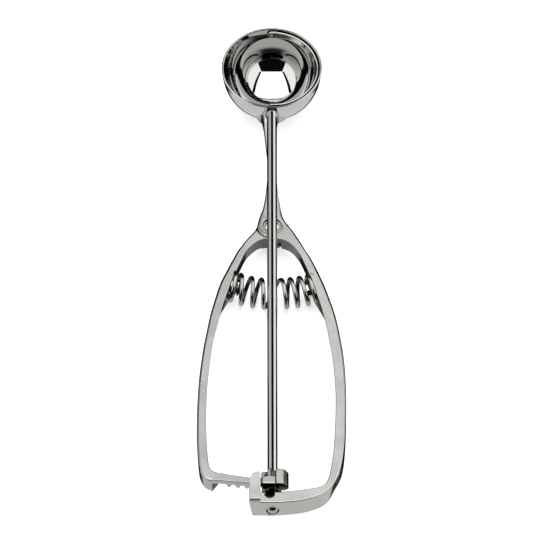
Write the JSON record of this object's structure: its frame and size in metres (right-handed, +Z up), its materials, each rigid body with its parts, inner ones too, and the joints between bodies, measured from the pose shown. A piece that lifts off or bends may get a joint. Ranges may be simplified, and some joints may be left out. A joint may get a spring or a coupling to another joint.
{
  "type": "lever ice cream scoop",
  "caption": "Ice cream scoop with a round cup on a slim neck and two sprung bow grips; squeezing them slides a curved rack over a pinion that sweeps a scraper blade round the cup.",
  "frame": {"origin": "middle of the bounding box's bottom face, on the surface the scoop lies on", "axes": "+Y from the grips to the cup along the tool, +Z up out of the cup's mouth (tilted back by 4.2 degrees about X), +X to the fixed grip's side"},
  "size_m": [0.0589, 0.238, 0.0235],
  "materials": {
    "cup_steel": "mirror-polished stainless steel sheet",
    "cast_steel": "tumble-polished stainless steel casting",
    "rod_steel": "polished drawn stainless steel bar",
    "blade_steel": "polished stainless steel strip",
    "gear_steel": "polished stainless steel, lightly worn",
    "spring_wire": "bright drawn spring wire",
    "pin_steel": "turned stainless steel",
    "bush_steel": "turned stainless steel, dull"
  },
  "bodies": {
    "fixed_frame": {"bowl_cup": "cup_steel", "rod_bush": "bush_steel", "blade_pivot_pin": "pin_steel", "fixed_handle": "cast_steel", "pivot_rivet": "pin_steel", "foot_pivot_pin": "pin_steel", "spring_stud_fixed": "pin_steel", "return_spring": "spring_wire"},
    "lever": {"lever_handle": "cast_steel", "spring_stud_lever": "pin_steel"},
    "spindle": {"scraper_rod": "rod_steel", "pinion": "gear_steel", "scraper_blade": "blade_steel"}
  },
  "joints": [
    {"name": "lever_squeeze", "type": "hinge", "parent": "fixed_frame", "child": "lever", "pos_m": [0.00035, 0.02398, 0.0092], "axis": [0, -0.0725, 0.9974], "range_deg": [0, 5.25], "stiffness_Nm_per_rad": 10, "springref_deg": -2.86, "deforming": ["return_spring"]},
    {"name": "spindle_turn", "type": "hinge", "parent": "fixed_frame", "child": "spindle", "pos_m": [0.00035, 0.09872, 0.01965], "axis": [0, 0.9974, 0.0725], "range_deg": [0, 180]}
  ],
  "couplings": [
    {"joint": "spindle_turn", "follows": "lever_squeeze", "ratio": 34}
  ]
}
